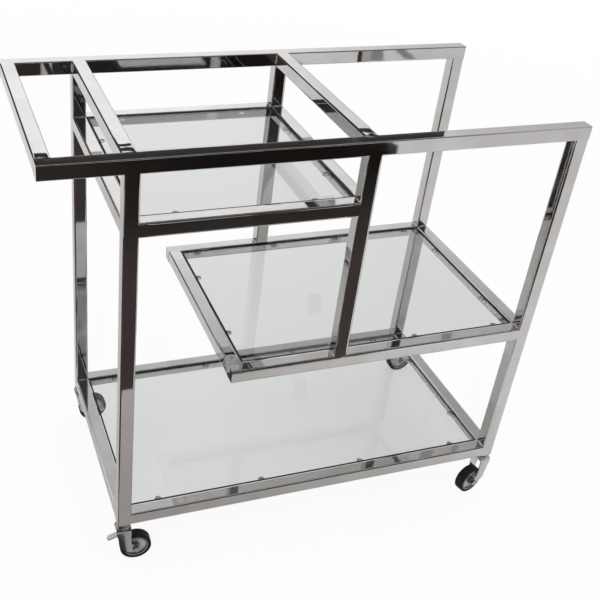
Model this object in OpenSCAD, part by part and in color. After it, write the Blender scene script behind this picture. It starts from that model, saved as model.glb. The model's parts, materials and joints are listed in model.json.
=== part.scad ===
// Serving cart: a polished square-tube frame with a push handle, three glass
// shelves at three heights and four swivel casters, two with a foot brake.
// X runs along the cart from the handle end, Y from the front side to the rear
// side, and Z up. The origin is on the floor, at the middle of the cart's outline
// as seen from above with its casters turned as drawn.

/* [Frame] */
// Length over the top rails, handle included
frame_length = 930; // [800:5:1200]
// Width over the two side frames
frame_width = 434; // [340:2:560]
// From the handle end to the left posts
handle_reach = 125; // [80:1:160]
// From the handle end to the middle posts
middle_post_offset = 515; // [440:5:580]
// From the handle end to the free end of the middle shelf
middle_shelf_offset = 322; // [220:2:400]
// From the top of the top rails down to the top of the upper shelf's frame
upper_shelf_drop = 107; // [60:1:200]
// From the top of the top rails down to the top of the middle shelf's frame
middle_shelf_drop = 418; // [300:2:500]
// From the top of the top rails down to the top of the bottom shelf's frame
bottom_shelf_drop = 722; // [600:2:800]

/* [Tubes] */
// Side of the square tube
tube_side = 25; // [20:1:32]
// Wall of the square tube
tube_wall = 1.2; // [0.8:0.1:2]
// Outer corner radius of the square tube
tube_corner = 2; // [2:0.5:4]
// Thickness of the plates that close the open tube ends
cap_thick = 1.5; // [1:0.5:4]
// Height of the threaded plug in the foot of each outer post
plug_height = 22; // [14:1:40]
// Clearance of what sits inside a tube
insert_clearance = 0.1; // [0.05:0.05:0.3]
// Diameter of the drain hole in the top of the middle crossbar
drain_dia = 3.5; // [2:0.5:6]
// From the front rail to the drain hole
drain_inset = 11.5; // [6:0.5:40]

/* [Shelves] */
// Thickness of the glass
glass_thick = 5; // [4:0.5:8]
// How far the glass lies below the top of its frame
glass_drop = 2; // [0.5:0.5:6]
// Gap between the edge of the glass and the tubes
glass_gap = 2; // [1:0.5:4]
// Ground edge of the glass
glass_bevel = 0.6; // [0.3:0.1:1.5]
// Corner radius of the glass
glass_corner = 3; // [1:0.5:6]
// Width of a support tab
tab_width = 13; // [8:1:20]
// How far a support tab reaches in from its tube
tab_reach = 15; // [10:1:24]
// Thickness of a support tab
tab_thick = 1.5; // [1:0.5:2.5]
// Height of a support tab's welded flange
tab_flange = 9; // [5:1:12]
// Diameter of the bumpers under the glass
bumper_dia = 9; // [5:0.5:12]
// Height of the bumpers under the glass
bumper_height = 1.5; // [1:0.5:3]
// From the shelf corner to the tabs of the upper shelf's long sides
upper_tab_inset = 65; // [20:1:120]
// From the shelf corner to the outer tabs of the middle shelf's long sides
middle_tab_inset = 35; // [20:1:100]
// From the shelf corner to the inner tabs of the middle shelf's long sides
middle_tab_second = 207; // [120:1:260]
// From the shelf corner to the outer tabs of the bottom shelf's long sides
bottom_tab_inset = 60; // [20:1:140]
// From the shelf corner to the inner tabs of the bottom shelf's long sides
bottom_tab_second = 270; // [160:1:340]
// From the shelf corner to the tabs of the short sides
cross_tab_inset = 96; // [20:1:140]

/* [Casters] */
// From the floor to the underside of the posts
caster_height = 96; // [90:1:110]
// Diameter of the wheel
wheel_dia = 60; // [54:1:64]
// Width of the tyre
wheel_width = 20; // [16:1:24]
// Diameter of the hub where the tyre sits
hub_dia = 48; // [40:1:50]
// From the swivel axis back to the axle
caster_trail = 24; // [20:1:28]
// Gap between the tyre and each leg of the fork
wheel_side_gap = 1.5; // [1:0.5:3]
// Sheet thickness of the fork
fork_thick = 2; // [1.5:0.5:2.5]
// Outer bend radius of the fork
fork_bend = 8; // [5:0.5:10]
// Diameter of the fork's round head and of the race on it
head_dia = 28; // [28:1:34]
// How far the round head stands above the bent sheet
head_lift = 1; // [0.5:0.5:2]
// Height of the race under the post
race_height = 9; // [7:0.5:11]
// Open gap between the rim of the race and the fork
race_gap = 1; // [0.6:0.1:2]
// Diameter of the bearing balls
ball_dia = 3.8; // [3:0.1:4]
// Number of bearing balls in a race
ball_count = 14; // [8:1:16]
// Diameter of the threaded stem
stem_dia = 10; // [8:1:12]
// Length of the threaded stem above the race
stem_length = 25; // [15:1:40]
// Height of the collar on top of the race
collar_height = 2; // [1:0.5:4]
// Diameter of the kingpin through the fork
kingpin_dia = 8; // [6:0.5:9]
// How far the kingpin's riveted end reaches past its hole
kingpin_lip = 3; // [2:0.5:4]
// Height of the kingpin's riveted end
kingpin_end = 3; // [2:0.5:5]
// Radius of the fork's eye round the axle
eye_radius = 8; // [7:0.5:10]
// How far the legs stand in front of the swivel axis beside the wheel
leg_front = 6; // [3:0.5:9]
// How far the legs reach behind the swivel axis above the wheel
leg_back = 14; // [11:0.5:15]
// Height of the fork's straight shoulders under its head
shoulder_height = 12; // [8:1:16]
// Diameter of the axle bolt
axle_dia = 8; // [6:0.5:8]
// Width across the flats of the axle's head and nut
nut_flats = 12; // [11:0.5:14]
// Height of the axle's head and nut
nut_height = 4.5; // [3:0.5:6]
// How far the axle stands out of its nut
axle_tail = 1.5; // [0.5:0.5:4]
// How far the hub's rim stays inside the side of the tyre
hub_inset = 1; // [0.5:0.1:2]
// Width of the hub's rim
hub_rim = 3.4; // [2:0.2:5]
// Depth of the hub's web below its rim
web_depth = 3; // [1:0.5:4]
// Width of the raised ring on the web
ring_width = 2.2; // [1:0.2:4]
// Height of the raised ring on the web
ring_height = 1.2; // [0.4:0.2:2]
// Broken edge of turned parts
edge_break = 0.6; // [0.2:0.1:1]
// Radial clearance of shafts that turn in a hole
running_clearance = 0.06; // [0.02:0.01:0.1]
// Running gap between flat faces that turn on each other
face_clearance = 0.3; // [0.2:0.05:0.5]
// Direction in which the front left caster trails
front_left_turn = -3; // [-180:1:180]
// Direction in which the front right caster trails
front_right_turn = -165; // [-180:1:180]
// Direction in which the rear left caster trails
rear_left_turn = 1; // [-180:1:180]
// Direction in which the rear right caster trails
rear_right_turn = 2; // [-180:1:180]

/* [Foot brakes] */
// Width of the pedal
pedal_width = 12; // [8:1:16]
// Sheet thickness of the pedal
pedal_thick = 1.8; // [1.2:0.1:2.5]
// Length of the pedal from its rivet to its tip
pedal_length = 31; // [24:1:40]
// Slope of the pedal when the brake is off
pedal_slope = 23; // [10:1:30]
// How far the rivet lies in front of the swivel axis
rivet_front = 2; // [0:0.5:4]
// Height of the rivet above the axle
rivet_rise = 36; // [34:0.5:37]
// Diameter of the rivet
rivet_dia = 4; // [3:0.5:5]
// How far the rivet's heads reach past its hole
rivet_lip = 1.5; // [1:0.1:2]
// Height of the rivet's heads
rivet_head = 1.2; // [0.8:0.1:2]
// Wall of the pedal's barrel round the rivet
barrel_wall = 2; // [1.5:0.1:2.5]
// Radius of the brake shoe's nose
shoe_nose = 3; // [2:0.5:4]
// Turn of the pedal from off to on
brake_turn = 18; // [8:1:22]
// Gap left between shoe and tyre when the brake is on
brake_gap = 0.4; // [0.3:0.05:0.8]
// How far the shoe's reach passes the gap's least distance
shoe_overreach = 0.5; // [0.2:0.1:1]

/* [Hidden] */
$fn = 48;
overcut = 1;

// Colours
chrome = [0.80, 0.81, 0.82];
zinc = [0.66, 0.67, 0.69];
steel = [0.56, 0.57, 0.58];
glass = [0.80, 0.90, 0.87, 0.35];
clear_plastic = [0.92, 0.94, 0.94];
nylon = [0.16, 0.16, 0.17];
hub_grey = [0.52, 0.52, 0.53];
black_rubber = [0.06, 0.06, 0.06];

// How far a caster reaches from its post's middle in the direction (dir_x, dir_y)
function reach(turn, dir_x, dir_y) =
    let (along = dir_x * cos(turn) + dir_y * sin(turn))
    let (across = dir_y * cos(turn) - dir_x * sin(turn))
    max(head_dia / 2,
        caster_trail * along + wheel_dia / 2 * abs(along) + wheel_width / 2 * abs(across));

// How far the casters stand out past the frame to the right, front and rear
right_overhang = -tube_side / 2
    + max(reach(front_right_turn, 1, 0), reach(rear_right_turn, 1, 0), tube_side / 2);
front_overhang = -tube_side / 2
    + max(reach(front_left_turn, 0, -1), reach(front_right_turn, 0, -1));
rear_overhang = -tube_side / 2
    + max(reach(rear_left_turn, 0, 1), reach(rear_right_turn, 0, 1));

// Places along X, of the low side of each tube
left_x = -(frame_length + right_overhang) / 2;
left_post_x = left_x + handle_reach;
middle_post_x = left_x + middle_post_offset;
middle_shelf_x = left_x + middle_shelf_offset;
right_post_x = left_x + frame_length - tube_side;

// Places along Y, of the front face of each side frame
front_y = (front_overhang - rear_overhang - frame_width) / 2;
rear_y = front_y + frame_width - tube_side;
cross_y = front_y + tube_side;
cross_length = rear_y - cross_y;

// Heights, of the underside of each tube
foot_z = caster_height;
bottom_rail_z = foot_z;
top_rail_z = foot_z + bottom_shelf_drop;
middle_rail_z = top_rail_z - middle_shelf_drop;
upper_rail_z = top_rail_z - upper_shelf_drop;
middle_post_z = middle_rail_z + tube_side;
post_length = top_rail_z - foot_z;

// Heights in a shelf, above the underside of its tubes
glass_base = tube_side - glass_drop - glass_thick;
tab_top = glass_base - bumper_height;

// Shelf openings between the tubes along X
upper_opening = [left_post_x + tube_side, middle_post_x];
middle_opening = [middle_shelf_x + tube_side, right_post_x];
bottom_opening = [left_post_x + tube_side, right_post_x];

// Caster sizes, with the swivel axis at X = 0 and the wheel towards +X
axle_z = wheel_dia / 2;
head_radius = head_dia / 2;
head_top = caster_height - race_height - race_gap;
head_bottom = head_top - head_lift - fork_thick;
leg_inner = wheel_width / 2 + wheel_side_gap;
leg_outer = leg_inner + fork_thick;
axle_radius = axle_dia / 2;
kingpin_radius = kingpin_dia / 2;
collar_radius = tube_side / 2 - 1;
hub_radius = hub_dia / 2;

// Dish of the race: how far inside its rim, and how far below the collar
race_dish = [[2, 1.5], [0.6, 2.2], [0, 3.2]];

// Side outline of the fork: heights above the axle where its edges bend
leg_waist = 26;
leg_crook = 20;
leg_foot = 8;
leg_flare = 3;
eye_blend = 35;

// The bearing's track between race and fork
ball_radius = ball_dia / 2;
track_inner = kingpin_radius + 4.5;
track_outer = track_inner + ball_dia + 1;
track_radius = (track_inner + track_outer) / 2;
ball_seat = 0.05;
track_top = head_top + ball_dia + 4 * ball_seat;

// The pedal's rivet, and the shoe's arm from it towards the wheel
rivet_x = -rivet_front;
rivet_z = axle_z + rivet_rise;
rivet_radius = rivet_dia / 2;
barrel_radius = rivet_radius + barrel_wall;
rivet_to_axle = norm([caster_trail - rivet_x, axle_z - rivet_z]);
line_to_axle = atan2(axle_z - rivet_z, caster_trail - rivet_x);
nose_distance = wheel_dia / 2 + shoe_nose + brake_gap;
shoe_arm = rivet_to_axle - nose_distance + shoe_overreach;
on_offset = acos((pow(rivet_to_axle, 2) + pow(shoe_arm, 2) - pow(nose_distance, 2))
    / (2 * rivet_to_axle * shoe_arm));
shoe_angle = line_to_axle - on_offset - brake_turn;

// Point at a distance and an angle from a start
function polar(start, distance, angle) =
    [start[0] + distance * cos(angle), start[1] + distance * sin(angle)];

// Points of a curve that leaves a for b and ends at c, in n steps
function curve(a, b, c, n) =
    [for (i = [0 : n]) let (t = i / n) pow(1 - t, 2) * a + 2 * t * (1 - t) * b + t * t * c];

// Square with round corners, its low corner at the origin
module rounded_square(side, radius) {
    translate([radius, 0]) square([side - 2 * radius, side]);
    translate([0, radius]) square([side, side - 2 * radius]);
    for (x = [radius, side - radius], y = [radius, side - radius])
        translate([x, y]) circle(radius);
}

// Section of the square tube
module tube_section() {
    inner_side = tube_side - 2 * tube_wall;
    difference() {
        rounded_square(tube_side, tube_corner);
        translate([tube_wall, tube_wall]) rounded_square(inner_side, tube_corner - tube_wall);
    }
}

// Tube along X between two places
module tube_along_x(from_x, to_x, y, z) {
    translate([from_x, y, z]) rotate([90, 0, 90]) linear_extrude(to_x - from_x) tube_section();
}

// Upright tube between two heights
module tube_upright(x, y, from_z, to_z) {
    translate([x, y, from_z]) linear_extrude(to_z - from_z) tube_section();
}

// Tube along Y between the side frames
module cross_tube(x, z) {
    translate([x + tube_side, cross_y, z]) rotate([90, 0, 180])
        linear_extrude(cross_length) tube_section();
}

// The tubes of the side frames, each drawn for the front or the rear side
module top_rail(y) {
    color(chrome) tube_along_x(left_x, right_post_x + tube_side, y, top_rail_z);
}

module outer_post(x, y) {
    color(chrome) tube_upright(x, y, foot_z, top_rail_z);
}

module middle_post(y) {
    color(chrome) tube_upright(middle_post_x, y, middle_post_z, top_rail_z);
}

module upper_shelf_rail(y) {
    color(chrome) tube_along_x(upper_opening[0], upper_opening[1], y, upper_rail_z);
}

module middle_shelf_rail(y) {
    color(chrome) tube_along_x(middle_shelf_x, right_post_x, y, middle_rail_z);
}

module bottom_shelf_rail(y) {
    color(chrome) tube_along_x(bottom_opening[0], bottom_opening[1], y, bottom_rail_z);
}

// The tubes across the cart, between the side frames
module handle_bar() {
    color(chrome) cross_tube(left_x, top_rail_z);
}

module top_crossbar_left() {
    color(chrome) cross_tube(left_post_x, top_rail_z);
}

module top_crossbar_middle() {
    color(chrome) difference() {
        cross_tube(middle_post_x, top_rail_z);
        translate([middle_post_x + tube_side / 2, cross_y + drain_inset, top_rail_z + tube_side / 2])
            cylinder(d = drain_dia, h = tube_side);
    }
}

module shelf_cross_tube(x, z) {
    color(chrome) cross_tube(x, z);
}

// Plates that close the free ends of the rails
module tube_end_caps() {
    side = tube_side - 2 * (tube_wall + insert_clearance);
    radius = tube_corner - tube_wall;
    ends = [
        [left_x, top_rail_z],
        [right_post_x + tube_side - cap_thick, top_rail_z],
        [middle_shelf_x, middle_rail_z]
    ];
    color(chrome) for (end = ends, y = [front_y, rear_y])
        translate([end[0], y + tube_wall + insert_clearance, end[1] + tube_wall + insert_clearance])
            rotate([90, 0, 90]) linear_extrude(cap_thick) rounded_square(side, radius);
}

// Plugs with a threaded hole, pressed into the feet of the outer posts
module post_plugs() {
    side = tube_side - 2 * (tube_wall + insert_clearance);
    color(nylon) for (x = [left_post_x, right_post_x], y = [front_y, rear_y])
        translate([x + tube_side / 2, y + tube_side / 2, foot_z]) difference() {
            translate([-side / 2, -side / 2]) linear_extrude(plug_height)
                rounded_square(side, tube_corner - tube_wall);
            translate([0, 0, -overcut])
                cylinder(r = stem_dia / 2 + running_clearance, h = plug_height + 2 * overcut);
        }
}

// Outline of the glass from above, its low corner at the origin
module glass_outline(size_x, size_y) {
    translate([glass_corner, 0]) square([size_x - 2 * glass_corner, size_y]);
    translate([0, glass_corner]) square([size_x, size_y - 2 * glass_corner]);
    for (x = [glass_corner, size_x - glass_corner], y = [glass_corner, size_y - glass_corner])
        translate([x, y]) circle(glass_corner);
}

// Section of a glass panel with its ground edges
module glass_section(width) {
    b = glass_bevel;
    t = glass_thick;
    polygon([
        [b, 0], [width - b, 0], [width, b], [width, t - b],
        [width - b, t], [b, t], [0, t - b], [0, b]
    ]);
}

module shelf_glass(opening, rail_z) {
    size_x = opening[1] - opening[0] - 2 * glass_gap;
    size_y = cross_length - 2 * glass_gap;
    color(glass) translate([opening[0] + glass_gap, cross_y + glass_gap, rail_z + glass_base])
        intersection() {
            linear_extrude(glass_thick) glass_outline(size_x, size_y);
            rotate([90, 0, 90]) linear_extrude(size_x) glass_section(size_y);
            translate([0, size_y, 0]) rotate([90, 0, 0]) linear_extrude(size_y) glass_section(size_x);
        }
}

// Puts a copy at each support of a shelf, with +Y pointing in from the tube.
// long_insets are the places on the long sides, counted from both corners.
module at_supports(opening, rail_z, long_insets) {
    for (inset = long_insets, x = [opening[0] + inset, opening[1] - inset]) {
        translate([x, cross_y, rail_z + tab_top]) children();
        translate([x, rear_y, rail_z + tab_top]) rotate([0, 0, 180]) children();
    }
    for (y = [cross_y + cross_tab_inset, rear_y - cross_tab_inset]) {
        translate([opening[0], y, rail_z + tab_top]) rotate([0, 0, -90]) children();
        translate([opening[1], y, rail_z + tab_top]) rotate([0, 0, 90]) children();
    }
}

// Bent tab: a round-ended seat for the bumper and a flange welded to the tube
module support_tab() {
    end_radius = tab_width / 2;
    translate([0, 0, -tab_thick]) linear_extrude(tab_thick) {
        translate([-end_radius, 0]) square([tab_width, tab_reach - end_radius]);
        translate([0, tab_reach - end_radius]) circle(end_radius);
    }
    translate([-end_radius, 0, -tab_flange]) cube([tab_width, tab_thick, tab_flange]);
}

module shelf_tabs(opening, rail_z, long_insets) {
    color(chrome) at_supports(opening, rail_z, long_insets) support_tab();
}

module shelf_bumpers(opening, rail_z, long_insets) {
    color(clear_plastic) at_supports(opening, rail_z, long_insets)
        translate([0, tab_reach - tab_width / 2, 0]) cylinder(d = bumper_dia, h = bumper_height);
}

// Puts a caster's piece under a post, turned about the swivel axis
module under_post(x, y, turn) {
    translate([x + tube_side / 2, y + tube_side / 2, 0]) rotate([0, 0, turn]) children();
}

// Turns a shape drawn round Z so that it lies round the wheel's axle
module on_axle() {
    translate([caster_trail, 0, axle_z]) rotate([90, 0, 0]) children();
}

// Threaded stem, collar, dished race and kingpin, turned in one piece
module caster_stem(x, y) {
    stem_radius = stem_dia / 2;
    top = caster_height + stem_length;
    collar_bottom = caster_height - collar_height;
    race_bottom = caster_height - race_height;
    pin_top = head_bottom - face_clearance;
    pin_bottom = pin_top - kingpin_end;
    pin_head = kingpin_radius + kingpin_lip;
    stem = [
        [0, top], [stem_radius - edge_break, top], [stem_radius, top - edge_break],
        [stem_radius, caster_height], [collar_radius, caster_height],
        [collar_radius, collar_bottom]
    ];
    race = concat([for (p = race_dish) [head_radius - p[0], collar_bottom - p[1]]], [
        [head_radius, race_bottom], [track_outer, race_bottom],
        [track_outer, track_top], [track_inner, track_top],
        [track_inner, head_top + face_clearance]
    ]);
    kingpin = [
        [kingpin_radius, head_top + face_clearance], [kingpin_radius, pin_top],
        [pin_head, pin_top], [pin_head, pin_bottom + kingpin_end / 2],
        [kingpin_radius + kingpin_lip / 2, pin_bottom], [0, pin_bottom]
    ];
    color(zinc) under_post(x, y, 0) rotate_extrude() polygon(concat(stem, race, kingpin));
}

// Rings of bearing balls between the races and the forks
module bearing_balls() {
    color(steel) for (x = [left_post_x, right_post_x], y = [front_y, rear_y], i = [1 : ball_count])
        under_post(x, y, i * 360 / ball_count)
            translate([track_radius, 0, head_top + ball_seat + ball_radius]) sphere(d = ball_dia);
}

// Outline of the fork seen from the side
module fork_side() {
    shoulder = head_top - shoulder_height;
    eye = [caster_trail, axle_z];
    eye_back = polar(eye, eye_radius, eye_blend);
    foot = [-leg_front, axle_z + leg_foot];
    front_edge = curve([-head_radius, shoulder], foot + [-leg_flare, leg_waist - leg_foot], foot, 6);
    sole = curve(foot, [leg_flare - leg_front, axle_z - eye_radius],
        [caster_trail, axle_z - eye_radius], 8);
    back_edge = curve(eye_back, [leg_back, eye_back[1] + leg_flare], [leg_back, axle_z + leg_crook], 8);
    polygon(concat(
        [[-head_radius, head_top]], front_edge, sole, [eye], back_edge,
        [[head_radius, shoulder], [head_radius, head_top]]
    ));
    translate(eye) circle(eye_radius);
}

// Section of the bent sheet, filled, from the floor up to top
module fork_arch(half_width, top, bend) {
    translate([-half_width, 0]) square([2 * half_width, top - bend]);
    translate([bend - half_width, 0]) square([2 * (half_width - bend), top]);
    for (side = [-1, 1]) translate([side * (half_width - bend), top - bend]) circle(bend);
}

// Stamped fork: an arch of bent sheet cut to the side outline, with a round head
module caster_fork(x, y, turn, braked) {
    sheet_top = head_top - head_lift;
    fork_length = caster_trail + eye_radius + head_radius;
    rolled_edge = (head_top - head_bottom) / 2;
    head_profile = [
        [0, head_bottom], [head_radius - rolled_edge, head_bottom],
        [head_radius, head_bottom + rolled_edge], [head_radius, head_top - edge_break],
        [head_radius - edge_break, head_top], [0, head_top]
    ];
    color(chrome) under_post(x, y, turn) difference() {
        union() {
            intersection() {
                translate([-head_radius, 0, 0]) rotate([90, 0, 90]) linear_extrude(fork_length)
                    difference() {
                        fork_arch(leg_outer, sheet_top, fork_bend);
                        fork_arch(leg_inner, sheet_top - fork_thick, fork_bend - fork_thick);
                    }
                translate([0, leg_outer + overcut, 0]) rotate([90, 0, 0])
                    linear_extrude(2 * (leg_outer + overcut)) fork_side();
            }
            rotate_extrude() polygon(head_profile);
        }
        translate([0, 0, head_bottom - overcut])
            cylinder(r = kingpin_radius + running_clearance, h = head_lift + fork_thick + 2 * overcut);
        on_axle() cylinder(r = axle_radius + running_clearance, h = 4 * leg_outer, center = true);
        if (braked) translate([rivet_x, 0, rivet_z]) rotate([90, 0, 0])
            cylinder(r = rivet_radius + running_clearance, h = 4 * leg_outer, center = true);
    }
}

// Six-sided head or nut with turned corners
module hex_block(height) {
    corner = nut_flats / sqrt(3);
    intersection() {
        cylinder(r = corner, h = height, $fn = 6);
        cylinder(r1 = corner + height / 2, r2 = nut_flats / 2 - edge_break / 2, h = height);
    }
}

// Axle bolt and its nut
module caster_axle(x, y, turn) {
    tail = leg_outer + nut_height + axle_tail;
    color(zinc) under_post(x, y, turn) on_axle() {
        translate([0, 0, -tail]) cylinder(r = axle_radius, h = tail + leg_outer);
        translate([0, 0, leg_outer]) hex_block(nut_height);
        mirror([0, 0, 1]) translate([0, 0, leg_outer]) difference() {
            hex_block(nut_height);
            translate([0, 0, -overcut])
                cylinder(r = axle_radius + running_clearance, h = nut_height + 2 * overcut);
        }
    }
}

// Wheel core: boss, dished web with a raised ring, and the seat of the tyre
module caster_hub(x, y, turn) {
    rim_half = wheel_width / 2 - hub_inset;
    web_half = rim_half - web_depth;
    boss_half = leg_inner - face_clearance;
    ring_inner = (eye_radius + hub_radius - hub_rim - ring_width) / 2;
    ring_outer = ring_inner + ring_width;
    half = [
        [axle_radius + running_clearance, boss_half], [eye_radius - edge_break, boss_half],
        [eye_radius, boss_half - edge_break], [eye_radius, web_half],
        [ring_inner, web_half], [ring_inner, web_half + ring_height],
        [ring_outer, web_half + ring_height], [ring_outer, web_half],
        [hub_radius - hub_rim - hub_inset, web_half], [hub_radius - hub_rim, rim_half],
        [hub_radius, rim_half]
    ];
    other_half = [for (i = [len(half) - 1 : -1 : 0]) [half[i][0], -half[i][1]]];
    color(hub_grey) under_post(x, y, turn) on_axle()
        rotate_extrude() polygon(concat(half, other_half));
}

// Solid tyre with round shoulders
module caster_tyre(x, y, turn) {
    radius = wheel_dia / 2;
    half = wheel_width / 2;
    wall = (radius - hub_radius) / 2;
    shoulder = curve([radius - wall, half], [radius, half], [radius, half - wall], 6);
    edge = concat([[hub_radius, half - hub_inset]], shoulder);
    other_edge = [for (i = [len(edge) - 1 : -1 : 0]) [edge[i][0], -edge[i][1]]];
    color(black_rubber) under_post(x, y, turn) on_axle()
        rotate_extrude($fn = 96) polygon(concat(edge, other_edge));
}

// Foot pedal: barrel on the rivet, tread plate to the front, shoe to the wheel
module brake_pedal(x, y, turn) {
    pivot = [rivet_x, rivet_z];
    tip = polar(pivot, pedal_length, 180 + pedal_slope);
    nose = polar(pivot, shoe_arm, shoe_angle);
    across = [cos(90 + pedal_slope), sin(90 + pedal_slope)] * pedal_thick / 2;
    side_step = polar([0, 0], shoe_nose, shoe_angle + 90);
    color(chrome) under_post(x, y, turn) difference() {
        union() {
            translate([0, pedal_width / 2, 0]) rotate([90, 0, 0]) linear_extrude(pedal_width) {
                polygon([pivot + across, tip + across, tip - across, pivot - across]);
                translate(tip) circle(pedal_thick / 2);
                polygon([pivot + side_step, nose + side_step, nose - side_step, pivot - side_step]);
                translate(nose) circle(shoe_nose);
            }
            translate([rivet_x, 0, rivet_z]) rotate([90, 0, 0])
                cylinder(r = barrel_radius, h = 2 * (leg_inner - face_clearance), center = true);
        }
        translate([rivet_x, 0, rivet_z]) rotate([90, 0, 0])
            cylinder(r = rivet_radius + running_clearance, h = 4 * leg_outer, center = true);
        pedal_corners(tip);
    }
}

// What is cut away to round the pedal's tip as seen from above
module pedal_corners(tip) {
    radius = pedal_width / 2;
    translate([tip[0] - radius, 0, tip[1] - radius]) difference() {
        translate([0, -pedal_width, 0]) cube([2 * radius, 2 * pedal_width, 2 * radius]);
        translate([2 * radius, 0, -overcut]) cylinder(r = radius, h = 2 * radius + 2 * overcut);
    }
}

// Rivet that carries the pedal in the fork
module brake_rivet(x, y, turn) {
    head_side = rivet_radius + rivet_lip;
    head_end = leg_outer + rivet_head;
    profile = [
        [0, -head_end], [head_side - edge_break, -head_end], [head_side, -leg_outer],
        [rivet_radius, -leg_outer], [rivet_radius, leg_outer], [head_side, leg_outer],
        [head_side - edge_break, head_end], [0, head_end]
    ];
    color(zinc) under_post(x, y, turn) translate([rivet_x, 0, rivet_z]) rotate([90, 0, 0])
        rotate_extrude() polygon(profile);
}

top_rail(front_y);  // front_top_rail
outer_post(left_post_x, front_y);  // front_left_post
middle_post(front_y);  // front_middle_post
outer_post(right_post_x, front_y);  // front_right_post
upper_shelf_rail(front_y);  // front_upper_shelf_rail
middle_shelf_rail(front_y);  // front_middle_shelf_rail
bottom_shelf_rail(front_y);  // front_bottom_shelf_rail
top_rail(rear_y);  // rear_top_rail
outer_post(left_post_x, rear_y);  // rear_left_post
middle_post(rear_y);  // rear_middle_post
outer_post(right_post_x, rear_y);  // rear_right_post
upper_shelf_rail(rear_y);  // rear_upper_shelf_rail
middle_shelf_rail(rear_y);  // rear_middle_shelf_rail
bottom_shelf_rail(rear_y);  // rear_bottom_shelf_rail

handle_bar();
top_crossbar_left();
top_crossbar_middle();
shelf_cross_tube(left_post_x, upper_rail_z);  // upper_shelf_cross_left
shelf_cross_tube(middle_post_x, upper_rail_z);  // upper_shelf_cross_right
shelf_cross_tube(middle_shelf_x, middle_rail_z);  // middle_shelf_cross_left
shelf_cross_tube(right_post_x, middle_rail_z);  // middle_shelf_cross_right
shelf_cross_tube(left_post_x, bottom_rail_z);  // bottom_shelf_cross_left
shelf_cross_tube(right_post_x, bottom_rail_z);  // bottom_shelf_cross_right
tube_end_caps();
post_plugs();

shelf_glass(upper_opening, upper_rail_z);  // upper_shelf_glass
shelf_glass(middle_opening, middle_rail_z);  // middle_shelf_glass
shelf_glass(bottom_opening, bottom_rail_z);  // bottom_shelf_glass
shelf_tabs(upper_opening, upper_rail_z, [upper_tab_inset]);  // upper_shelf_tabs
shelf_tabs(middle_opening, middle_rail_z, [middle_tab_inset, middle_tab_second]);  // middle_shelf_tabs
shelf_tabs(bottom_opening, bottom_rail_z, [bottom_tab_inset, bottom_tab_second]);  // bottom_shelf_tabs
shelf_bumpers(upper_opening, upper_rail_z, [upper_tab_inset]);  // upper_shelf_bumpers
shelf_bumpers(middle_opening, middle_rail_z, [middle_tab_inset, middle_tab_second]);  // middle_shelf_bumpers
shelf_bumpers(bottom_opening, bottom_rail_z, [bottom_tab_inset, bottom_tab_second]);  // bottom_shelf_bumpers

bearing_balls();
caster_stem(left_post_x, front_y);  // front_left_stem
caster_fork(left_post_x, front_y, front_left_turn, true);  // front_left_fork
caster_axle(left_post_x, front_y, front_left_turn);  // front_left_axle
caster_hub(left_post_x, front_y, front_left_turn);  // front_left_hub
caster_tyre(left_post_x, front_y, front_left_turn);  // front_left_tyre
brake_pedal(left_post_x, front_y, front_left_turn);  // front_left_brake_pedal
brake_rivet(left_post_x, front_y, front_left_turn);  // front_left_brake_rivet
caster_stem(right_post_x, front_y);  // front_right_stem
caster_fork(right_post_x, front_y, front_right_turn, false);  // front_right_fork
caster_axle(right_post_x, front_y, front_right_turn);  // front_right_axle
caster_hub(right_post_x, front_y, front_right_turn);  // front_right_hub
caster_tyre(right_post_x, front_y, front_right_turn);  // front_right_tyre
caster_stem(left_post_x, rear_y);  // rear_left_stem
caster_fork(left_post_x, rear_y, rear_left_turn, false);  // rear_left_fork
caster_axle(left_post_x, rear_y, rear_left_turn);  // rear_left_axle
caster_hub(left_post_x, rear_y, rear_left_turn);  // rear_left_hub
caster_tyre(left_post_x, rear_y, rear_left_turn);  // rear_left_tyre
caster_stem(right_post_x, rear_y);  // rear_right_stem
caster_fork(right_post_x, rear_y, rear_right_turn, true);  // rear_right_fork
caster_axle(right_post_x, rear_y, rear_right_turn);  // rear_right_axle
caster_hub(right_post_x, rear_y, rear_right_turn);  // rear_right_hub
caster_tyre(right_post_x, rear_y, rear_right_turn);  // rear_right_tyre
brake_pedal(right_post_x, rear_y, rear_right_turn);  // rear_right_brake_pedal
brake_rivet(right_post_x, rear_y, rear_right_turn);  // rear_right_brake_rivet
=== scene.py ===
"""Finishes, weld seams and studio for the serving cart.

The tubes, glass and casters are the CAD nodes with better materials. New pieces are the
weld fillets in the corners of the tube joints, the weld metal that was ground flush where
two tubes share a side, and the collars of the axle nuts.
"""

import json
from math import pi, radians

import bpy
import numpy as np
from mathutils import Matrix, Vector


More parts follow.
